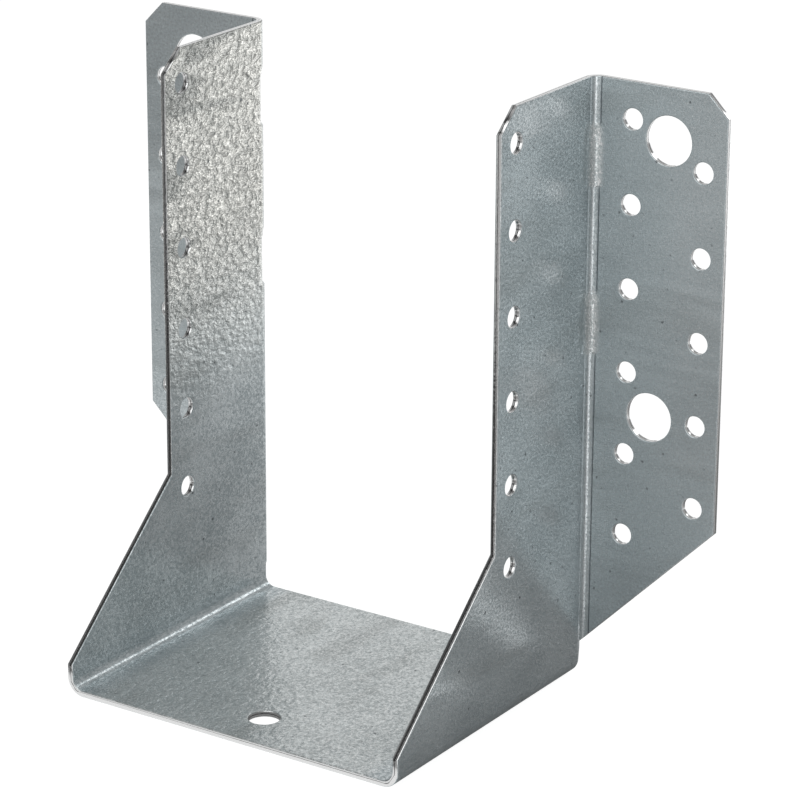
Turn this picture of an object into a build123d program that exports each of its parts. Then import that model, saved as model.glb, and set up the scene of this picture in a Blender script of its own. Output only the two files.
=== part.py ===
"""Joist hanger folded from one sheet of galvanised steel, with outward header flanges.

Sizes are in millimetres. X runs across the hanger, Z is up and the underside of
the seat is at Z 0. The backs of both flanges lie in one plane at the back (+Y),
and the joist comes in from the front (-Y). The box around the part is centred
on X 0 and Y 0.
"""

import os

from build123d import *

# Sheet and folds
sheet = 1.6
fold_inner = 2.0
fold_outer = fold_inner + sheet
seat_fold_inner = 2.6
seat_fold_outer = seat_fold_inner + sheet

# Pocket for the joist
pocket_width = 90.0
pocket_height = 145.0
seat_depth = 80.0

# Side plates, measured back from the header plane
plate_depth = 40.6
plate_top_chamfer_y = 6.2
plate_top_chamfer_z = 5.5
slope_top = 42.8
slope_bottom = 7.5
back_edge_gap = 2.8

# Header flanges, measured out from the outer face of the side plate
flange_reach = 34.4
flange_top_chamfer = 5.2
flange_foot = 8.7

# Nail holes, 20 mm apart down each column from the top edge
nail_diameter = 5.0
nail_pitch = 20.0
nail_above_foot = 10.0
flange_inner_out = 10.1
flange_inner_down = 8.8
flange_outer_out = 28.5
flange_outer_down = 18.4
plate_nail_in = 6.2
plate_nail_down = 8.5
plate_nail_below_knee = 6.0

# Bolt holes in the flanges and the hole in the seat
bolt_diameter = 11.6
upper_bolt_out = 19.5
upper_bolt_down = 12.4
lower_bolt_out = 16.4
lower_bolt_down = 78.6
seat_hole_diameter = 7.5
seat_hole_x = 1.4
seat_hole_in = 12.2

# Stiffening beads stamped into the flange folds
bead_inner = 3.3
bead_tops_down = (51.0, 11.0)
bead_length = 15.0
bead_foot = 0.6
bead_flare = 3.4

# Derived positions
inner_x = pocket_width / 2
outer_x = inner_x + sheet
top = pocket_height + sheet
header = seat_depth / 2
front = -seat_depth / 2
flange_front = header - sheet
tip_x = outer_x + flange_reach
fold_start = header - fold_outer
back_edge = header - back_edge_gap
plate_front = header - plate_depth
corner_y = header - 9.0
corner_x = outer_x + 9.0
foot_inner = flange_foot - sheet - 2
foot_outer = flange_foot + flange_reach + 5
fold_low = flange_foot - sheet
inner_room = top - flange_inner_down - flange_foot - flange_inner_out - nail_above_foot
flange_inner_count = int(inner_room / nail_pitch) + 1
outer_room = top - flange_outer_down - flange_foot - flange_outer_out - nail_above_foot
flange_outer_count = int(outer_room / nail_pitch) + 1
plate_room = top - plate_nail_down - slope_top + plate_nail_below_knee
plate_nail_count = int(plate_room / nail_pitch) + 1


def fold_section(height, radius):
    """Cross-section of the fold between side plate and flange, at one height."""
    centre_x = outer_x + radius
    centre_y = flange_front - radius
    reach = radius + sheet
    with BuildSketch(Plane((0, 0, height))) as section:
        with BuildLine():
            Line((inner_x, corner_y), (inner_x, centre_y))
            ThreePointArc(
                (inner_x, centre_y),
                (centre_x - reach * 0.70710678, centre_y + reach * 0.70710678),
                (centre_x, header),
            )
            Line((centre_x, header), (corner_x, header))
            Line((corner_x, header), (corner_x, flange_front))
            Line((corner_x, flange_front), (centre_x, flange_front))
            ThreePointArc(
                (centre_x, flange_front),
                (centre_x - radius * 0.70710678, centre_y + radius * 0.70710678),
                (outer_x, centre_y),
            )
            Line((outer_x, centre_y), (outer_x, corner_y))
            Line((outer_x, corner_y), (inner_x, corner_y))
        make_face()
    return section.sketch


with BuildPart() as hanger:
    # Half of the seat with its fold and side plate, as one length of channel
    with BuildSketch(Plane.XZ.offset(-back_edge)):
        with BuildLine():
            Line((0, 0), (inner_x - seat_fold_inner, 0))
            ThreePointArc(
                (inner_x - seat_fold_inner, 0),
                (
                    inner_x - seat_fold_inner + seat_fold_outer * 0.70710678,
                    seat_fold_outer - seat_fold_outer * 0.70710678,
                ),
                (outer_x, seat_fold_outer),
            )
            Line((outer_x, seat_fold_outer), (outer_x, top))
            Line((outer_x, top), (inner_x, top))
            Line((inner_x, top), (inner_x, seat_fold_outer))
            ThreePointArc(
                (inner_x, seat_fold_outer),
                (
                    inner_x - seat_fold_inner + seat_fold_inner * 0.70710678,
                    seat_fold_outer - seat_fold_inner * 0.70710678,
                ),
                (inner_x - seat_fold_inner, sheet),
            )
            Line((inner_x - seat_fold_inner, sheet), (0, sheet))
            Line((0, sheet), (0, 0))
        make_face()
    extrude(amount=back_edge - front)

    # Front outline of the side plate: top chamfer, front edge and slope
    with BuildSketch(Plane.YZ.offset(inner_x - 1)):
        with BuildLine():
            Polyline(
                (front - 5, slope_bottom),
                (front, slope_bottom),
                (plate_front, slope_top),
                (plate_front, top - plate_top_chamfer_z),
                (plate_front + plate_top_chamfer_y, top),
                (plate_front + plate_top_chamfer_y, top + 5),
                (front - 5, top + 5),
                close=True,
            )
        make_face()
    extrude(amount=sheet + 2, mode=Mode.SUBTRACT)

    # Room for the flange fold
    with BuildSketch(Plane.YZ.offset(inner_x - 1)):
        with BuildLine():
            Polyline(
                (corner_y, fold_low),
                (header + 5, fold_low),
                (header + 5, top + 5),
                (corner_y, top + 5),
                close=True,
            )
        make_face()
    extrude(amount=sheet + 2, mode=Mode.SUBTRACT)

    # Flange fold, piece by piece up the plate, with its two beads
    level = fold_low
    for down in bead_tops_down:
        bead_end = top - down
        bottom = bead_end - bead_length
        add(fold_section(level, fold_inner))
        extrude(amount=bottom - level)
        add(fold_section(bottom, fold_inner))
        add(fold_section(bottom + bead_foot, bead_inner))
        loft(ruled=True)
        add(fold_section(bottom + bead_foot, bead_inner))
        extrude(amount=bead_length - bead_foot - bead_flare)
        add(fold_section(bead_end - bead_flare, bead_inner))
        add(fold_section(bead_end, fold_inner))
        loft(ruled=True)
        level = bead_end
    add(fold_section(level, fold_inner))
    extrude(amount=top - level)

    # Flange beyond the fold
    with BuildSketch(Plane((0, 0, fold_low))):
        with Locations(((corner_x + tip_x) / 2, header - sheet / 2)):
            Rectangle(tip_x - corner_x, sheet)
    extrude(amount=top - fold_low)

    # Top chamfer of the flange
    with BuildSketch(Plane.XZ.offset(-header - 1)):
        with BuildLine():
            Polyline(
                (tip_x - flange_top_chamfer, top),
                (tip_x, top - flange_top_chamfer),
                (tip_x + 5, top - flange_top_chamfer),
                (tip_x + 5, top + 5),
                (tip_x - flange_top_chamfer, top + 5),
                close=True,
            )
        make_face()
    extrude(amount=sheet + 2, mode=Mode.SUBTRACT)

    # Sloping foot of the flange, carried on through the fold
    with BuildSketch(Plane.XZ.offset(-header - 1)):
        with BuildLine():
            Polyline(
                (inner_x - 2, foot_inner),
                (tip_x + 5, foot_outer),
                (tip_x + 5, foot_inner - 5),
                (inner_x - 2, foot_inner - 5),
                close=True,
            )
        make_face()
    extrude(amount=back_edge_gap + 1, mode=Mode.SUBTRACT)

    # Nail holes and bolt holes of the flange
    with BuildSketch(Plane.XZ.offset(-header - 1)):
        for row in range(flange_inner_count):
            with Locations((outer_x + flange_inner_out, top - flange_inner_down - row * nail_pitch)):
                Circle(nail_diameter / 2)
        for row in range(flange_outer_count):
            with Locations((outer_x + flange_outer_out, top - flange_outer_down - row * nail_pitch)):
                Circle(nail_diameter / 2)
        with Locations(
            (outer_x + upper_bolt_out, top - upper_bolt_down),
            (outer_x + lower_bolt_out, top - lower_bolt_down),
        ):
            Circle(bolt_diameter / 2)
    extrude(amount=sheet + 2, mode=Mode.SUBTRACT)

    # Nail holes of the side plate
    with BuildSketch(Plane.YZ.offset(inner_x - 1)):
        for row in range(plate_nail_count):
            with Locations((plate_front + plate_nail_in, top - plate_nail_down - row * nail_pitch)):
                Circle(nail_diameter / 2)
    extrude(amount=sheet + 2, mode=Mode.SUBTRACT)

    # The other half, and the hole in the seat
    mirror(about=Plane.YZ)
    with BuildSketch(Plane.XY.offset(-1)):
        with Locations((seat_hole_x, front + seat_hole_in)):
            Circle(seat_hole_diameter / 2)
    extrude(amount=sheet + 2, mode=Mode.SUBTRACT)

hanger.part.label = "hanger"

os.makedirs("parts", exist_ok=True)
export_step(hanger.part, "parts/hanger.step")
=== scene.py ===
# %% [markdown]
# # A joist hanger folded from galvanised sheet
# The real object is one piece of zinc coated sheet steel. A blank is punched
# and sheared flat, two folds raise the side plates from the seat, and two more
# turn the tall flanges outwards. Everything that tells the eye it is metal is
# small: rolled edges that catch the light, a bright sheared band through the
# thickness, and a zinc skin with a fine mottle and soft rolling bands.

# %% Load the measured frame
import bpy
import math
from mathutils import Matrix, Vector


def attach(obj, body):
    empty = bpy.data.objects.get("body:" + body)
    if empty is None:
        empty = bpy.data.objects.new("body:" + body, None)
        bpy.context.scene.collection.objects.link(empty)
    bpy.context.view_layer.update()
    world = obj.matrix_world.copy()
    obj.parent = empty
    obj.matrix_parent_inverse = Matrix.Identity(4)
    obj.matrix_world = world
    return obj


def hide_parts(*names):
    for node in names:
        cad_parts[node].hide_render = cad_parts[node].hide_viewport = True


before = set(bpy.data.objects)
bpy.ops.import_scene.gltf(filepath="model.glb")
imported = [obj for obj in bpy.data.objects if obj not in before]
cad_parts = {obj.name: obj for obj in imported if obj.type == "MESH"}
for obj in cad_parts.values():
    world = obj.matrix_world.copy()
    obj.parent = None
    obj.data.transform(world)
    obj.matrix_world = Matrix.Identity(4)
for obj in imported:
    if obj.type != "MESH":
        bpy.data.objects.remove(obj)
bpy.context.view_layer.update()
hanger_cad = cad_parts["hanger"]

# %% [markdown]
# ## Sizes that the finish needs
# The mesh comes with its real size, so only the sheet's own facts are repeated
# here, in metres. They say which faces belong to the skin, and how deep a point
# on a sheared edge lies between the two skins.

# %% Sheet sizes
SHEET = 0.0016
POCKET_HALF = 0.045
PLATE_OUT = POCKET_HALF + SHEET
HEADER = 0.040
FLANGE_FRONT = HEADER - SHEET
BACK_GAP = 0.0028
BACK_EDGE = HEADER - BACK_GAP
FOLD_FOOT = 0.0071
FOLD_IN = 0.002
SEAT_FOLD_IN = 0.0026
print("sheet thickness, mm:", 1000 * SHEET)

# %% [markdown]
# ## The camera
# The photographer stood in front and to the right, above the hanger, with a
# long lens. The turn and the place come from fitting the holes and edges of the
# part to the photograph. The lens has no shift, so every other view stays
# centred too.

# %% Camera
camera_data = bpy.data.cameras.new("camera")
camera = bpy.data.objects.new("camera", camera_data)
bpy.context.scene.collection.objects.link(camera)
camera_data.sensor_width = 36.0
camera_data.lens = 160.672
camera_data.clip_start = 0.01
camera_data.clip_end = 50.0
camera.location = (0.44354, -0.63538, 0.34669)
camera.rotation_euler = [math.radians(turn) for turn in (70.4059, -0.2961, 33.7936)]
bpy.context.scene.camera = camera
print("camera at, mm:", [round(1000 * c, 1) for c in camera.location])

# %% [markdown]
# ## Helpers for node trees
# A material is a tree of small nodes, and most of them do one of three things:
# a sum, a soft border between two levels, or a mix of two values or colours.
# Each of these gets a helper that takes numbers or the outputs of other nodes,
# so that the cells below read like a recipe.

# %% Helpers for node trees
def add_node(tree, kind, place, **settings):
    node = tree.nodes.new(kind)
    node.location = place
    for name, value in settings.items():
        setattr(node, name, value)
    return node


def feed(node, values):
    """Fills inputs of a node with plain values or with the outputs of other nodes."""
    for name, value in values.items():
        if isinstance(value, bpy.types.NodeSocket):
            node.id_data.links.new(value, node.inputs[name])
        else:
            node.inputs[name].default_value = value


def math_of(tree, place, operation, *values, **settings):
    node = add_node(tree, "ShaderNodeMath", place, operation=operation, **settings)
    feed(node, dict(enumerate(values)))
    return node.outputs[0]


def slide(tree, place, value, border, levels=(0.0, 1.0), kind="LINEAR"):
    """Goes evenly from one level to the other while the value crosses the border."""
    node = add_node(tree, "ShaderNodeMapRange", place, interpolation_type=kind)
    feed(node, {"Value": value, "From Min": border[0], "From Max": border[1]})
    feed(node, {"To Min": levels[0], "To Max": levels[1]})
    return node.outputs["Result"]


def ease(tree, place, value, border, levels=(0.0, 1.0)):
    """The same with a soft start and a soft end."""
    return slide(tree, place, value, border, levels, "SMOOTHSTEP")


def mix(tree, place, share, first, second):
    node = add_node(tree, "ShaderNodeMix", place)
    feed(node, {0: share, 2: first, 3: second})
    return node.outputs[0]


def mix_colours(tree, place, share, first, second):
    node = add_node(tree, "ShaderNodeMix", place, data_type="RGBA")
    feed(node, {0: share, 6: first, 7: second})
    return node.outputs[2]


def grey(level):
    return (level, level, level, 1)


def fresh_tree(owner):
    owner.use_nodes = True
    owner.node_tree.nodes.clear()
    return owner.node_tree


print("helpers ready, middle grey:", grey(0.5))

# %% [markdown]
# ## Floor and background
# The photograph is cut out on plain white. The floor is a pale sheet that takes
# the soft shadow, and adds enough of its own white for the camera to come out
# as white where no shadow falls. Polished metal shows its surroundings, and
# every face of the hanger mirrors another part of the floor or the room, so
# each of those parts has a level of its own.

# %% Floor sheet
FLOOR_WIDTH = 8.0
BELOW_SEAT = 0.0002
bpy.ops.object.select_all(action="DESELECT")
bpy.ops.mesh.primitive_plane_add(size=FLOOR_WIDTH, location=(0, 0, -BELOW_SEAT))
floor = bpy.context.active_object
floor.name = "floor"
bpy.ops.object.transform_apply(location=True, rotation=False, scale=False)
floor_paint = bpy.data.materials.new("floor_paint")
floor.data.materials.append(floor_paint)
print("floor made, material", floor_paint.name)

# %% [markdown]
# ## Levels of the floor
# The plates mirror the floor behind the hanger, bright for the left plate and
# dimmer for the right one, and the flanges mirror the floor in front. All these
# rays run along one slant over the floor, so a coordinate across that slant
# tells the left pieces from the right ones. A border is given by the two
# places, in metres, between which one level runs into the next.

# %% Floor from front to back
VIEW_SLANT = -0.667
FLOOR_FRONT = 0.30
FLOOR_SIDE = 0.5
FLOOR_NEAR = 0.08
FLOOR_LEFT = 0.42
FLOOR_BACK = 1.2
FLOOR_FAR = 0.62
SIDE_BORDER = (0.06, 0.14)
NEAR_BORDER = (-0.31, -0.08)
GLOW_BORDER = (-0.30, -0.22)
LEFT_BORDER = (-0.03, -0.09)
FAR_BORDER = (-0.04, 0.015)
BACK_BORDER = (0.06, 0.40)

tree = fresh_tree(floor_paint)
place = add_node(tree, "ShaderNodeTexCoord", (-900, 0))
parts = add_node(tree, "ShaderNodeSeparateXYZ", (-720, 0))
feed(parts, {"Vector": place.outputs["Object"]})
floor_x, floor_y = parts.outputs["X"], parts.outputs["Y"]
slanted = math_of(tree, (-720, 500), "MULTIPLY_ADD", floor_y, VIEW_SLANT, floor_x)
fore = ease(tree, (-720, 250), floor_x, SIDE_BORDER, (FLOOR_FRONT, FLOOR_SIDE))
right_front = ease(tree, (-540, 100), floor_y, NEAR_BORDER, (fore, FLOOR_NEAR))
left_front = ease(tree, (-540, 350), floor_y, GLOW_BORDER, (0.0, FLOOR_LEFT))
to_left = ease(tree, (-540, 500), slanted, LEFT_BORDER)
front = mix(tree, (-450, 200), to_left, right_front, left_front)
back = ease(tree, (-720, -250), slanted, FAR_BORDER, (FLOOR_BACK, FLOOR_FAR))
to_back = ease(tree, (-540, -150), floor_y, BACK_BORDER)
plain_floor = mix(tree, (-450, 0), to_back, front, back)
print("floor levels, front to back:", FLOOR_FRONT, FLOOR_NEAR, FLOOR_BACK)

# %% [markdown]
# ## Bright wedges beside the hanger
# The fold between the right plate and its flange shows narrow bright lines. A
# round fold mirrors a whole fan of directions, so two narrow wedges of bright
# floor with their tip at the fold are enough to draw them. A wedge is a range
# of slopes as seen from that tip.

# %% Bright wedges
FLOOR_RIGHT = 1.2
WEDGE_TIP = (0.047, 0.036)
WEDGE_START = 0.02
WEDGE_SLOPES = (-2.2, 1.1)
FIRST_WEDGE = ((0.27, 0.0), (0.32, 1.0), (0.38, 1.0), (0.43, 0.0))
SECOND_WEDGE = ((0.79, 0.0), (0.82, 0.7), (0.85, 0.7), (0.88, 0.0))


def set_stops(node, first, last, between):
    """Places the two end stops of a colour ramp, and adds the stops between them."""
    stops = node.color_ramp.elements
    for stop, (position, colour) in zip(stops, (first, last)):
        stop.position = position
        stop.color = colour
    for position, colour in between:
        stops.new(position).color = colour


from_x = math_of(tree, (-1000, -400), "SUBTRACT", floor_x, WEDGE_TIP[0])
from_y = math_of(tree, (-1000, -600), "SUBTRACT", floor_y, WEDGE_TIP[1])
steep = math_of(tree, (-840, -500), "DIVIDE", from_y, from_x)
right_of = math_of(tree, (-840, -700), "GREATER_THAN", from_x, WEDGE_START)
wedge = add_node(tree, "ShaderNodeValToRGB", (-700, -500))
wedge.color_ramp.interpolation = "EASE"
wedge_stops = [(position, grey(level)) for position, level in FIRST_WEDGE + SECOND_WEDGE]
set_stops(wedge, (0.0, grey(0)), (1.0, grey(0)), wedge_stops)
feed(wedge, {"Fac": slide(tree, (-780, -350), steep, WEDGE_SLOPES)})
patch = math_of(tree, (-520, -600), "MULTIPLY", wedge.outputs["Color"], right_of)
wedged_floor = math_of(tree, (-450, -350), "MULTIPLY_ADD", patch, FLOOR_RIGHT, plain_floor)
print("wedges start at, mm:", [round(1000 * c) for c in WEDGE_TIP])

# %% [markdown]
# ## White that the camera sees
# A strip of floor before the seat lights the seat's front edge. After that the
# floor is put together: a matt grey that takes the shadow, and a glow that has
# the drawn levels for reflections and a plain white for the camera.

# %% Floor paint
FLOOR_EDGE = 0.6
STRIP_BORDER = (-0.075, -0.050)
STRIP_END = -0.0385
MATT_FLOOR = 0.22
WHITE_FLOOR = 0.95

at_edge = ease(tree, (-700, -900), floor_y, STRIP_BORDER)
before_seat = math_of(tree, (-700, -1150), "LESS_THAN", floor_y, STRIP_END)
strip = math_of(tree, (-520, -950), "MULTIPLY", at_edge, before_seat)
drawn_floor = math_of(tree, (-300, -500), "MULTIPLY_ADD", strip, FLOOR_EDGE, wedged_floor)
seen = add_node(tree, "ShaderNodeLightPath", (-360, 500))
matt = add_node(tree, "ShaderNodeBsdfDiffuse", (-360, 150))
feed(matt, {"Color": grey(MATT_FLOOR)})
glow = add_node(tree, "ShaderNodeEmission", (-160, 0))
white = mix(tree, (-360, -100), seen.outputs["Is Camera Ray"], drawn_floor, WHITE_FLOOR)
feed(glow, {"Strength": white})
total = add_node(tree, "ShaderNodeAddShader", (40, 100))
feed(total, {0: matt.outputs["BSDF"], 1: glow.outputs["Emission"]})
out = add_node(tree, "ShaderNodeOutputMaterial", (240, 100))
feed(out, {"Surface": total.outputs["Shader"]})
print("floor paint, nodes:", len(tree.nodes))

# %% [markdown]
# ## The room
# Above the floor the metal mirrors the room. It is darkest in front on the
# left, and lightest at the back, where the seat looks. Here the borders are
# directions, from -1 to 1. The camera sees plain white once more.

# %% White world
ROOM_LEFT = 0.08
ROOM_RIGHT = 0.45
ROOM_BACK = 0.56
ROOM_FAR = 0.46
DEPTH_BORDER = (-0.3, 0.7)
SIDEWAYS_BORDER = (-0.30, 0.20)
BEHIND_BORDER = (-0.05, 0.40)
WHITE_ROOM = 1.0

world = bpy.data.worlds.new("studio")
bpy.context.scene.world = world
tree = fresh_tree(world)
look = add_node(tree, "ShaderNodeTexCoord", (-900, 0))
parts = add_node(tree, "ShaderNodeSeparateXYZ", (-720, 0))
feed(parts, {"Vector": look.outputs["Generated"]})
depth = ease(tree, (-540, 0), parts.outputs["Y"], DEPTH_BORDER)
front = ease(tree, (-540, -300), parts.outputs["X"], SIDEWAYS_BORDER, (ROOM_LEFT, ROOM_RIGHT))
back = ease(tree, (-540, -550), parts.outputs["X"], BEHIND_BORDER, (ROOM_BACK, ROOM_FAR))
room = mix(tree, (-340, -100), depth, front, back)
seen = add_node(tree, "ShaderNodeLightPath", (-540, 400))
white = mix(tree, (-200, 100), seen.outputs["Is Camera Ray"], room, WHITE_ROOM)
sky = add_node(tree, "ShaderNodeBackground", (-100, 100))
feed(sky, {"Strength": white})
out = add_node(tree, "ShaderNodeOutputWorld", (100, 100))
feed(out, {"Surface": sky.outputs["Background"]})
bpy.context.scene.view_settings.view_transform = "Standard"
print("world:", world.name)

# %% [markdown]
# ## Studio lights
# Metal mirrors the shape of a lamp, so the panels are wide and weak. A large
# one hangs high in front and lights the whole hanger, and a weak one stands in
# front on the left. Two stand behind: the left one lies bright on the right
# half of the seat, and the high one draws the line along the seat fold. None of
# them shows in the picture itself.

# %% Lights
MIDDLE = (0.02, 0.02, 0.08)
SEAT_LEFT = (-0.04, 0.0, 0.0)
SEAT_RIGHT = (0.02, 0.0, 0.0)


def soft_light(name, place, aim, size, power):
    data = bpy.data.lights.new(name, "AREA")
    data.size = size
    data.energy = power
    lamp = bpy.data.objects.new(name, data)
    bpy.context.scene.collection.objects.link(lamp)
    lamp.location = place
    lamp.rotation_euler = (Vector(aim) - Vector(place)).to_track_quat("-Z", "Y").to_euler()
    lamp.visible_camera = False


soft_light("left_front", (-0.55, -0.75, 0.55), MIDDLE, size=0.7, power=0.5)
soft_light("top_front", (0.08, -0.85, 0.78), MIDDLE, size=1.3, power=6.3)
soft_light("left_back", (-0.62, 1.0, 0.46), SEAT_RIGHT, size=0.5, power=0.32)
soft_light("top_back", (0.34, 1.0, 0.72), SEAT_LEFT, size=0.34, power=0.7)

# %% [markdown]
# ## The folded sheet
# The measured mesh already has the right folds and holes, but its edges are as
# sharp as a drawing. Real sheared steel has a rolled edge on the punch side and
# a small burr on the other, and it is the roll that draws a thin bright line
# round every hole. A copy of the mesh is merged into one skin, and a narrow
# bevel on the sharp edges gives it that roll.

# %% Copy and merge
SAME_POINT = 0.000002
SLIVER = 0.0002
NEARLY_FLAT = math.radians(0.4)
SLIVER_OUT = PLATE_OUT + 0.0004
SLIVER_BACK = (BACK_EDGE - 0.0001, BACK_EDGE + 0.0003)
SLIVER_TOP = FOLD_FOOT + 0.0020


def beside_foot(point):
    """Where plate, fold and slope meet in points that lie too close together."""
    at_back = SLIVER_BACK[0] < point.y < SLIVER_BACK[1]
    return at_back and abs(point.x) < SLIVER_OUT and point.z < SLIVER_TOP


sheet_piece = bpy.data.objects.new("folded_sheet", hanger_cad.data.copy())
bpy.context.scene.collection.objects.link(sheet_piece)
bpy.ops.object.select_all(action="DESELECT")
sheet_piece.select_set(True)
bpy.context.view_layer.objects.active = sheet_piece
bpy.ops.object.mode_set(mode="EDIT")
bpy.ops.mesh.select_all(action="SELECT")
bpy.ops.mesh.remove_doubles(threshold=SAME_POINT)
bpy.ops.mesh.select_all(action="DESELECT")
bpy.ops.object.mode_set(mode="OBJECT")
for vertex in sheet_piece.data.vertices:
    vertex.select = beside_foot(vertex.co)
bpy.ops.object.mode_set(mode="EDIT")
bpy.ops.mesh.remove_doubles(threshold=SLIVER)
bpy.ops.mesh.select_all(action="SELECT")
bpy.ops.mesh.dissolve_limited(angle_limit=NEARLY_FLAT)
bpy.ops.object.mode_set(mode="OBJECT")
print("merged sheet:", len(sheet_piece.data.vertices), "points")

# %% Rolled edges
SHARP_TURN = math.radians(50)
SMOOTH_TURN = math.radians(40)
ROLL_WIDTH = 0.0003
ROLL_STEPS = 3
NOTCH_OUT = PLATE_OUT + 0.0009
NOTCH_BACK = BACK_EDGE - 0.0010
NOTCH_TOP = FOLD_FOOT + 0.0027


def in_notch(point):
    """The corner where plate, fold and slope end together, too tight for a roll."""
    return abs(point.x) < NOTCH_OUT and point.y > NOTCH_BACK and point.z < NOTCH_TOP


bpy.ops.object.mode_set(mode="EDIT")
bpy.ops.mesh.select_all(action="DESELECT")
bpy.ops.mesh.select_mode(type="EDGE")
bpy.ops.mesh.edges_select_sharp(sharpness=SHARP_TURN)
bpy.ops.object.mode_set(mode="OBJECT")
points = sheet_piece.data.vertices
weight = sheet_piece.data.attributes.new("bevel_weight_edge", "FLOAT", "EDGE")
for edge in sheet_piece.data.edges:
    tight = any(in_notch(points[end].co) for end in edge.vertices)
    weight.data[edge.index].value = 1.0 if edge.select and not tight else 0.0
roll = sheet_piece.modifiers.new("rolled_edges", "BEVEL")
roll.width = ROLL_WIDTH
roll.segments = ROLL_STEPS
roll.limit_method = "WEIGHT"
roll.use_clamp_overlap = False
roll.miter_outer = "MITER_SHARP"
bpy.ops.object.modifier_apply(modifier=roll.name)
print("with rolled edges:", len(sheet_piece.data.polygons), "faces")

# %% [markdown]
# ## Flat skins
# A bevel leaves large flat faces beside narrow ones, and plain smooth shading
# would bend the light across the whole plate. Normals that are weighted by the
# size of a face keep the plates flat and leave the bend to the roll.

# %% Flat skins
bpy.ops.object.shade_smooth_by_angle(angle=SMOOTH_TURN)
flat = sheet_piece.modifiers.new("flat_skins", "WEIGHTED_NORMAL")
flat.mode = "FACE_AREA"
flat.weight = 100
flat.keep_sharp = True
bpy.ops.object.modifier_apply(modifier=flat.name)
print("flat skins on", sheet_piece.name)

# %% [markdown]
# ## Laying the sheet flat again
# The zinc went on before the folding, so its grain and its rolling bands run on
# round the folds. Every point therefore gets its place on the flat blank: how
# far along the rolling direction, how far across from the middle of the seat,
# and how deep between the two skins. A fold is measured along the middle of the
# sheet, which neither stretches nor shrinks. A face is on a skin when it looks
# straight out of the sheet, and was sheared when it looks along it.

# %% Place on the blank
SEAT_TURN = (POCKET_HALF - SEAT_FOLD_IN, SEAT_FOLD_IN + SHEET)
FOLD_TURN = (PLATE_OUT + FOLD_IN, FLANGE_FRONT - FOLD_IN)
SEAT_RADIUS = SEAT_FOLD_IN + SHEET / 2
FOLD_RADIUS = FOLD_IN + SHEET / 2
JUST_BELOW = 0.0001


def on_blank(point):
    """Place on the flat blank, depth from 0 to 1 through the sheet, and the skin's normal."""
    x, y, z = abs(point.x), point.y, point.z
    side = 1 if point.x >= 0 else -1
    along, across = y, x
    depth, out = (PLATE_OUT - x) / SHEET, Vector((1, 0, 0))
    if z < SEAT_TURN[1] and x <= SEAT_TURN[0]:
        depth, out = z / SHEET, Vector((0, 0, 1))
    elif z < SEAT_TURN[1] and y < FLANGE_FRONT:
        away = Vector((x - SEAT_TURN[0], z - SEAT_TURN[1]))
        depth = 1 - (away.length - SEAT_FOLD_IN) / SHEET
        across = SEAT_TURN[0] + SEAT_RADIUS * math.atan2(away.x, -away.y)
        away.normalize()
        out = Vector((side * away.x, 0, away.y))
    else:
        across = SEAT_TURN[0] + SEAT_RADIUS * math.pi / 2 + z - SEAT_TURN[1]
    if y > FOLD_TURN[1] and z > FOLD_FOOT - JUST_BELOW:
        away = Vector((x - FOLD_TURN[0], y - FOLD_TURN[1]))
        turn = min(math.atan2(away.y, -away.x), math.pi / 2)
        along = FOLD_TURN[1] + FOLD_RADIUS * turn + max(0, away.x)
        if away.x > 0:
            depth, out = (y - FLANGE_FRONT) / SHEET, Vector((0, 1, 0))
        else:
            depth = (away.length - FOLD_IN) / SHEET
            away.normalize()
            out = Vector((side * away.x, away.y, 0))
    return Vector((along, side * across, depth * SHEET)), depth, out


mesh = sheet_piece.data
mesh.attributes.new("blank_place", "FLOAT_VECTOR", "POINT")
mesh.attributes.new("sheet_depth", "FLOAT", "POINT")
blank = mesh.attributes["blank_place"]
through = mesh.attributes["sheet_depth"]
for vertex in mesh.vertices:
    spot, depth, out = on_blank(vertex.co)
    blank.data[vertex.index].vector = spot
    through.data[vertex.index].value = depth
flat_size = 2 * max(abs(d.vector.y) for d in blank.data)
print("flat length across, mm:", round(1000 * flat_size, 1))

# %% Skin or sheared edge
SHEARED_BELOW = 0.35
mesh.materials.clear()
mesh.materials.append(bpy.data.materials.new("zinc_skin"))
mesh.materials.append(bpy.data.materials.new("sheared_edge"))
for face in mesh.polygons:
    facing = abs(face.normal.dot(on_blank(face.center)[2]))
    face.material_index = 1 if facing < SHEARED_BELOW else 0
print("sheared faces:", sum(face.material_index for face in mesh.polygons), "of", len(mesh.polygons))

# %% [markdown]
# ## Zinc grain
# Hot dipped zinc freezes into fine grains, and each one tilts a little and
# mirrors another part of the room. The skin therefore gets much of its sparkle
# from the surface itself: the group gives one height for the bump, with a
# crinkle of about a millimetre and a finer frost on it. It also gives the masks
# for the colour: a tone, the tops of the crinkle, where a painted glint lightens
# the grain, fine specks that are painted glints, and a few dark pits. Each mask
# is the part of a noise that lies between two levels.

# %% Zinc grain group
FROST_HEIGHT = 0.045
CLOUD_SHARE = 0.45
SPARK_LEVELS = (0.36, 0.64)
# Levels of the specks, where white glints are painted.
SPECK_LEVELS = (0.54, 0.68)
PIT_LEVELS = (0.215, 0.12)


def new_group(name, inputs, outputs):
    group = bpy.data.node_groups.new(name, "ShaderNodeTree")
    for label, kind, value in inputs:
        socket = group.interface.new_socket(name=label, in_out="INPUT", socket_type=kind)
        if value is not None:
            socket.default_value = value
    for label in outputs:
        group.interface.new_socket(name=label, in_out="OUTPUT", socket_type="NodeSocketFloat")
    start = add_node(group, "NodeGroupInput", (-1300, 0))
    end = add_node(group, "NodeGroupOutput", (500, 0))
    return group, start, end


def noise(tree, place, vector, scale, detail, rough=0.5, bend=0.0):
    node = add_node(tree, "ShaderNodeTexNoise", place)
    feed(node, {"Vector": vector, "Scale": scale, "Detail": detail})
    feed(node, {"Roughness": rough, "Distortion": bend})
    return node.outputs["Fac"]


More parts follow.
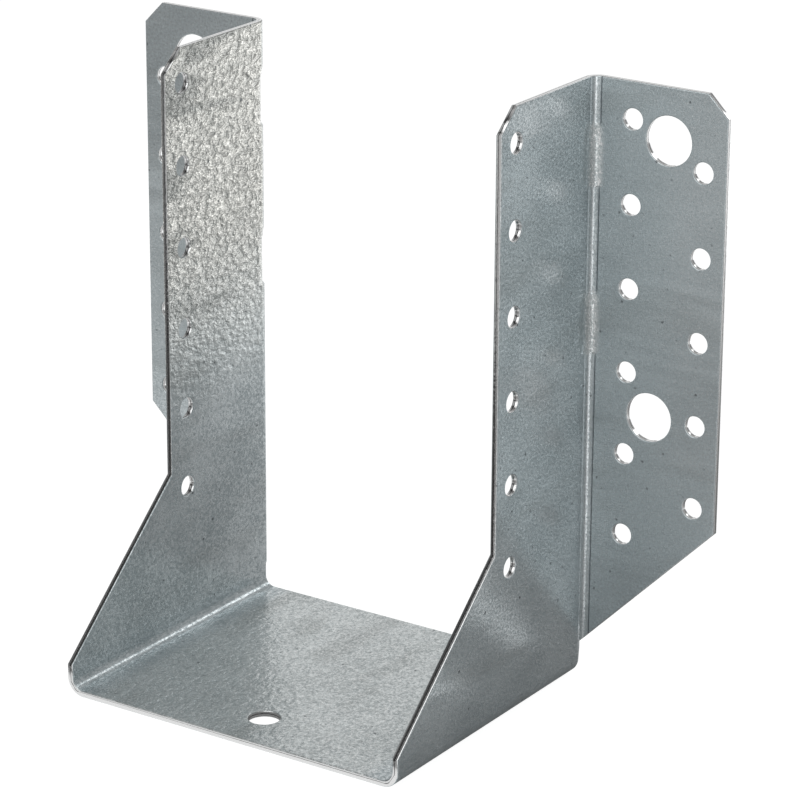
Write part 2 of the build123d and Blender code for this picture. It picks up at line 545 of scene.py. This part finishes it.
def drawn_out(tree, place, vector, turn, squeeze):
    """Squeezes the blank along the rolling direction, which makes a noise longer there."""
    node = add_node(tree, "ShaderNodeMapping", place)
    feed(node, {"Vector": vector, "Rotation": (0, 0, math.radians(turn)), "Scale": (squeeze, 1, 1)})
    return node.outputs["Vector"]


zinc_grain, start, end = new_group(
    "zinc_grain",
    [("Blank", "NodeSocketVector", None), ("Crinkle", "NodeSocketFloat", 1.0)],
    ["Height", "Tone", "Frost", "Spark", "Speck", "Pit"],
)
even = start.outputs["Blank"]
longer = drawn_out(zinc_grain, (-1150, 300), even, turn=-10, squeeze=0.70)
crinkle = noise(zinc_grain, (-950, 300), longer, scale=700, detail=2.0, rough=0.55, bend=0.25)
frost = noise(zinc_grain, (-950, 0), even, scale=1500, detail=2.0, rough=0.6)
cloud = noise(zinc_grain, (-950, -300), even, scale=45, detail=3.0, rough=0.55)
dots = noise(zinc_grain, (-950, -600), even, scale=1900, detail=1.0)
holes = noise(zinc_grain, (-950, -850), even, scale=750, detail=0.0)
crinkled = math_of(zinc_grain, (-700, 300), "MULTIPLY", crinkle, start.outputs["Crinkle"])
# Spark and Speck place painted glints; Tone and Pit are the zinc's own.
masks = {
    "Height": math_of(zinc_grain, (-450, 200), "MULTIPLY_ADD", frost, FROST_HEIGHT, crinkled),
    "Tone": math_of(zinc_grain, (-450, -100), "MULTIPLY_ADD", cloud, CLOUD_SHARE, frost),
    "Frost": frost,
    "Spark": slide(zinc_grain, (-450, 450), crinkle, SPARK_LEVELS),
    "Speck": slide(zinc_grain, (-450, -600), dots, SPECK_LEVELS),
    "Pit": slide(zinc_grain, (-450, -850), holes, PIT_LEVELS),
}
feed(end, masks)
print("group:", zinc_grain.name)

# %% [markdown]
# ## Rolling bands
# Cold rolling leaves the sheet very slightly wavy, in streaks along the rolling
# direction. A noise that is stretched along the blank gives that slow wave. It
# bends the reflections a little, and darkens the skin in soft bands.

# %% Rolling band group
rolling_bands, start, end = new_group(
    "rolling_bands",
    [("Blank", "NodeSocketVector", None)],
    ["Height"],
)
longer = drawn_out(rolling_bands, (-1100, 0), start.outputs["Blank"], turn=-9, squeeze=0.22)
wave = noise(rolling_bands, (-850, 0), longer, scale=95, detail=2.0, rough=0.45, bend=0.3)
feed(end, {"Height": wave})
print("group:", rolling_bands.name)

# %% [markdown]
# ## Painted fold lines and stamped beads
# On the inner side of the fold that turns the flange, two narrow lines are
# painted bright as highlights, and a line beside them is painted dark as shade
# in the crease. They stop at the two stamped beads, which the round end of the
# tool has frosted. The group reads the place on the blank, where the fold and
# the beads always have the same numbers.

# %% Lines and beads of the fold
FOLD_START = FOLD_TURN[1]
FOLD_WIDTH = FOLD_RADIUS * math.pi / 2
FOLD_END = FOLD_START + FOLD_WIDTH
ON_PLATE = SEAT_TURN[0] + SEAT_RADIUS * math.pi / 2 - SEAT_TURN[1]
BEADS = ((0.0806, 0.0956), (0.1206, 0.1356))
# Places on the fold of the two painted highlight lines and of the painted shade in the crease.
BRIGHT_LINES = (0.14, 0.52)
BRIGHT_HALF = 0.00012
CREASE = 0.95
CREASE_HALF = 0.00010
LINE_SOFT = 0.00022
BEAD_INSET = 0.001
BEAD_SOFT = 0.002
ROUND_INSET = 0.0005
ROUND_SOFT = 0.0015


def pulse(tree, place, value, middle, half, soft):
    """1 within half of middle, falling to 0 over soft."""
    off = math_of(tree, place, "SUBTRACT", value, middle)
    size = math_of(tree, (place[0] + 160, place[1]), "ABSOLUTE", off)
    return ease(tree, (place[0] + 320, place[1]), size, (half + soft, half))


def fold_line(tree, place, along, share, half):
    """A narrow line at the given share of the way round the fold."""
    return pulse(tree, place, along, FOLD_START + share * FOLD_WIDTH, half, LINE_SOFT)


def bead_mark(tree, place, across, low, high):
    """The stretch of the fold between the two ends of a bead."""
    half = (high - low) / 2 - BEAD_INSET
    return pulse(tree, place, across, ON_PLATE + (low + high) / 2, half, BEAD_SOFT)


print("fold on the blank, mm:", round(1000 * FOLD_START, 2), "to", round(1000 * FOLD_END, 2))

# %% Fold light and bead group
fold_light_and_beads, start, end = new_group(
    "fold_light_and_beads",
    [("Blank", "NodeSocketVector", None)],
    ["Bright", "Dark", "Bead"],
)
parts = add_node(fold_light_and_beads, "ShaderNodeSeparateXYZ", (-1100, 0))
feed(parts, {"Vector": start.outputs["Blank"]})
along = parts.outputs["X"]
either_side = math_of(fold_light_and_beads, (-950, -200), "ABSOLUTE", parts.outputs["Y"])
# Two lines of painted highlight round the inner side of the fold.
first, second = [
    fold_line(fold_light_and_beads, (-800, 500 - 200 * i), along, share, BRIGHT_HALF)
    for i, share in enumerate(BRIGHT_LINES)
]
# A line of painted shade in the crease of the fold.
crease = fold_line(fold_light_and_beads, (-800, 100), along, CREASE, CREASE_HALF)
lower, upper = [
    bead_mark(fold_light_and_beads, (-800, -200 - 200 * i), either_side, low, high)
    for i, (low, high) in enumerate(BEADS)
]
fold_middle = (FOLD_START + FOLD_END) / 2
round_half = FOLD_WIDTH / 2 - ROUND_INSET
in_round = pulse(fold_light_and_beads, (-800, -700), along, fold_middle, round_half, ROUND_SOFT)
beads = math_of(fold_light_and_beads, (-250, -300), "MAXIMUM", lower, upper)
inner_side = math_of(fold_light_and_beads, (-250, -100), "LESS_THAN", parts.outputs["Z"], SHEET / 2)
free = math_of(fold_light_and_beads, (-80, -150), "SUBTRACT", inner_side, beads, use_clamp=True)
pair = math_of(fold_light_and_beads, (-250, 300), "MAXIMUM", first, second)
# Bright is painted highlight, Dark is painted shade in the crease, Bead is the stamped beads.
masks = {
    "Bright": math_of(fold_light_and_beads, (100, 300), "MULTIPLY", pair, free),
    "Dark": math_of(fold_light_and_beads, (100, 100), "MULTIPLY", crease, free),
    "Bead": math_of(fold_light_and_beads, (-80, -400), "MULTIPLY", beads, in_round),
}
feed(end, masks)
print("group:", fold_light_and_beads.name)

# %% [markdown]
# ## Zinc skin
# The upper part of the left plate has the coarsest grain, the seat a finer one,
# and the rest is nearly smooth. Masks on the place on the blank tell these
# parts from each other, and soft borders let one run into the next. The seat's
# border is the same on both sides, so it reads the distance from the middle.

# %% Zinc skin, coarse and smooth parts
COARSE_BORDER = (-0.092, -0.150)
PLATE_BORDER = (0.0385, 0.0365)
SEAT_BORDER = (0.0405, 0.0360)
SEAT_CRINKLE = (0.035, 0.30)
COARSE_CRINKLE = 2.1

zinc_skin = bpy.data.materials["zinc_skin"]
tree = fresh_tree(zinc_skin)
place = add_node(tree, "ShaderNodeAttribute", (-2100, 0), attribute_name="blank_place")
parts = add_node(tree, "ShaderNodeSeparateXYZ", (-1900, 300))
feed(parts, {"Vector": place.outputs["Vector"]})
along, across = parts.outputs["X"], parts.outputs["Y"]
either_side = math_of(tree, (-1850, -100), "ABSOLUTE", across)
left_up = ease(tree, (-1700, 400), across, COARSE_BORDER)
before_fold = ease(tree, (-1700, 150), along, PLATE_BORDER)
coarse = math_of(tree, (-1500, 300), "MULTIPLY", left_up, before_fold)
on_seat = ease(tree, (-1700, -100), either_side, SEAT_BORDER, SEAT_CRINKLE)
steeper = math_of(tree, (-1500, 450), "MULTIPLY", coarse, COARSE_CRINKLE)
crinkle = math_of(tree, (-1350, 300), "MAXIMUM", steeper, on_seat)
mottled = math_of(tree, (-650, 150), "MAXIMUM", coarse, on_seat)
grain = add_node(tree, "ShaderNodeGroup", (-1150, 200), node_tree=zinc_grain)
feed(grain, {"Blank": place.outputs["Vector"], "Crinkle": crinkle})
bands = add_node(tree, "ShaderNodeGroup", (-1150, -200), node_tree=rolling_bands)
feed(bands, {"Blank": place.outputs["Vector"]})
fold_light_and_beads_node = add_node(tree, "ShaderNodeGroup", (-1150, -700), node_tree=fold_light_and_beads)
feed(fold_light_and_beads_node, {"Blank": place.outputs["Vector"]})
print("material:", zinc_skin.name)

# %% [markdown]
# ## Colour of the zinc
# Zinc is a cool, light grey. Smooth parts vary a little in tone, mottled parts
# go from a warm grey to white, the white tops of the crinkle being painted
# glints, and the rolling bands lie over both, strongest where the grain is
# coarse. The flanges are evener than the plates.

# %% Zinc skin, colour
FINE_DARK = (0.45, 0.51, 0.53, 1)
FINE_LIGHT = (0.74, 0.80, 0.82, 1)
# The dark end is the grain's own grey; the white end is a painted glint.
GLITTER_DARK = (0.60, 0.61, 0.58, 1)
GLINT_WHITE = (1.0, 1.0, 0.95, 1)
BAND_COLOUR = (0.30, 0.32, 0.31, 1)
TONE_LEVELS = (0.62, 0.84)
FLANGE_BORDER = (FOLD_END - 0.0008, FOLD_END + 0.0012)
FLANGE_EVENED = (0.0, 0.6)
MIDDLE_TONE = 0.5
BAND_LEVELS = (0.54, 0.64)
BAND_WEIGHT = (0.14, 0.65)
WHOLE = (0.0, 1.0)

tone = slide(tree, (-850, 500), grain.outputs["Tone"], TONE_LEVELS)
on_flange = ease(tree, (-1200, 700), along, FLANGE_BORDER, FLANGE_EVENED)
evened = mix(tree, (-750, 700), on_flange, tone, MIDDLE_TONE)
fine = mix_colours(tree, (-650, 500), evened, FINE_DARK, FINE_LIGHT)
# Crinkle tops are painted lighter as glints.
grain_and_glints = mix_colours(tree, (-650, 250), grain.outputs["Spark"], GLITTER_DARK, GLINT_WHITE)
clean = mix_colours(tree, (-450, 400), mottled, fine, grain_and_glints)
streak = slide(tree, (-850, 0), bands.outputs["Height"], BAND_LEVELS)
strength = slide(tree, (-650, 0), mottled, WHOLE, BAND_WEIGHT)
banded = math_of(tree, (-450, 50), "MULTIPLY", streak, strength)
colour = mix_colours(tree, (-250, 300), banded, clean, BAND_COLOUR)
print("bands darken smooth and coarse parts by:", BAND_WEIGHT)

# %% [markdown]
# ## Marks in the zinc, painted glints and painted fold light
# The beads are frosted and full of white specks, and the seat has more specks
# than the plates; the specks are painted glints. The fold lines are painted
# highlights, the line in the crease beside them is painted shade, and a few
# pits are scattered all over. Each mark is a mask that mixes its own colour
# over what lies below.

# %% Zinc skin, marks
# Glints, the fold's highlight and the crease's shade are painted; the pits are the zinc's own.
SPECK_GLINT_WHITE = (1.0, 1.0, 1.0, 1)
FOLD_HIGHLIGHT = (0.93, 0.98, 1.0, 1)
CREASE_SHADE = (0.20, 0.22, 0.24, 1)
PIT_DARK = (0.20, 0.22, 0.23, 1)
BEAD_FROST = 0.22
BEAD_SPECKS = 0.8
SPECK_BORDER = (0.044, 0.040)
SPECK_WEIGHT = (0.25, 0.70)

bead = fold_light_and_beads_node.outputs["Bead"]
frosty = math_of(tree, (-650, 1000), "MULTIPLY", bead, BEAD_FROST)
beaded = mix_colours(tree, (-350, 1000), frosty, colour, grain_and_glints)
many = ease(tree, (-1500, -400), either_side, SPECK_BORDER, SPECK_WEIGHT)
more = math_of(tree, (-650, 800), "MULTIPLY_ADD", bead, BEAD_SPECKS, many)
specks = math_of(tree, (-450, 800), "MULTIPLY", more, grain.outputs["Speck"])
# White specks painted as glints, most on the beads and the seat.
glint_specked = mix_colours(tree, (-250, 700), specks, beaded, SPECK_GLINT_WHITE)
# The fold lines are painted lighter as highlights.
fold_highlighted = mix_colours(tree, (-100, 500), fold_light_and_beads_node.outputs["Bright"], glint_specked, FOLD_HIGHLIGHT)
# The crease beside the lines is painted darker as shade.
crease_shaded = mix_colours(tree, (0, 700), fold_light_and_beads_node.outputs["Dark"], fold_highlighted, CREASE_SHADE)
pitted = mix_colours(tree, (100, 900), grain.outputs["Pit"], crease_shaded, PIT_DARK)
print("white specks, plates and seat:", SPECK_WEIGHT)

# %% [markdown]
# ## Half mirror, half frost
# Fresh zinc is half mirror and half frost, so two Principled shaders are mixed:
# a fairly clear one, and a rough one that spreads the light. Both are bent by
# the same bump, which is calmed in the seat fold, where the press has smoothed
# the zinc and the highlight has to stay one clean line.

# %% Zinc skin, bump and gloss
BAND_HEIGHT = 0.5
BUMP_DEPTH = 0.0007
SEAT_FOLD_MIDDLE = SEAT_TURN[0] + 0.0027
SEAT_FOLD_HALF = 0.0022
SEAT_FOLD_SOFT = 0.0009
CALMED = (1.0, 0.12)
FROST_LEVELS = (0.35, 0.65)
FROST_SHARE = (0.75, 0.35)
COARSE_FROST = 0.12

height = math_of(
    tree, (-850, -250), "MULTIPLY_ADD", bands.outputs["Height"], BAND_HEIGHT, grain.outputs["Height"]
)
seat_fold = pulse(tree, (-1500, -900), either_side, SEAT_FOLD_MIDDLE, SEAT_FOLD_HALF, SEAT_FOLD_SOFT)
calm = slide(tree, (-850, -500), seat_fold, WHOLE, CALMED)
bump = add_node(tree, "ShaderNodeBump", (-650, -250))
feed(bump, {"Strength": calm, "Distance": BUMP_DEPTH, "Height": height})
mirror = add_node(tree, "ShaderNodeBsdfPrincipled", (0, 300))
feed(mirror, {"Metallic": 1.0, "Roughness": 0.20})
frosted = add_node(tree, "ShaderNodeBsdfPrincipled", (0, -200))
feed(frosted, {"Metallic": 0.8, "Roughness": 0.58})
for lobe in (mirror, frosted):
    feed(lobe, {"Base Color": pitted, "Normal": bump.outputs["Normal"]})
share = slide(tree, (-250, 0), grain.outputs["Frost"], FROST_LEVELS, FROST_SHARE)
frost_share = mix(tree, (0, 0), coarse, share, COARSE_FROST)
both = add_node(tree, "ShaderNodeMixShader", (300, 100))
feed(both, {0: frost_share, 1: mirror.outputs["BSDF"], 2: frosted.outputs["BSDF"]})
out = add_node(tree, "ShaderNodeOutputMaterial", (500, 100))
feed(out, {"Surface": both.outputs["Shader"]})
print("zinc skin, nodes:", len(tree.nodes))

# %% [markdown]
# ## Sheared edges
# The punch first burnishes the steel, then the rest of the thickness breaks. So
# a cut is bright, with one dark line where the burnished part ends and the torn
# part begins. The depth between the skins places that line, and a little noise
# makes it wander, as it does on a real cut.

# %% Sheared edge material
WANDER = 0.2
BURNISHED = (0.10, (0.92, 0.93, 0.93, 1))
TORN = (0.78, (0.84, 0.85, 0.85, 1))
DARK_LINE = ((0.60, 0.88), (0.65, 0.05), (0.69, 0.06))
TORN_BORDER = (0.55, 0.72)
CUT_ROUGHNESS = (0.20, 0.10)
CUT_BUMP = 0.6
CUT_BUMP_DEPTH = 0.00006

sheared_edge = bpy.data.materials["sheared_edge"]
tree = fresh_tree(sheared_edge)
place = add_node(tree, "ShaderNodeAttribute", (-1500, -200), attribute_name="blank_place")
depth = add_node(tree, "ShaderNodeAttribute", (-1500, 200), attribute_name="sheet_depth")
grain = add_node(tree, "ShaderNodeGroup", (-1200, -200), node_tree=zinc_grain)
feed(grain, {"Blank": place.outputs["Vector"]})
torn = math_of(
    tree, (-1000, 200), "MULTIPLY_ADD", grain.outputs["Tone"], WANDER, depth.outputs["Fac"]
)
cut = add_node(tree, "ShaderNodeValToRGB", (-750, 250))
set_stops(cut, BURNISHED, TORN, [(position, grey(level)) for position, level in DARK_LINE])
feed(cut, {"Fac": torn})
rough = slide(tree, (-750, 0), torn, TORN_BORDER, CUT_ROUGHNESS)
bump = add_node(tree, "ShaderNodeBump", (-550, -250))
feed(bump, {"Strength": CUT_BUMP, "Distance": CUT_BUMP_DEPTH, "Height": grain.outputs["Height"]})
steel = add_node(tree, "ShaderNodeBsdfPrincipled", (-100, 100))
feed(steel, {"Metallic": 1.0, "Roughness": rough})
feed(steel, {"Base Color": cut.outputs["Color"], "Normal": bump.outputs["Normal"]})
out = add_node(tree, "ShaderNodeOutputMaterial", (200, 100))
feed(out, {"Surface": steel.outputs["BSDF"]})
print("material:", sheared_edge.name)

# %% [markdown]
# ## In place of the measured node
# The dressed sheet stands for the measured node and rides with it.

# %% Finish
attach(sheet_piece, "root")
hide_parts("hanger")
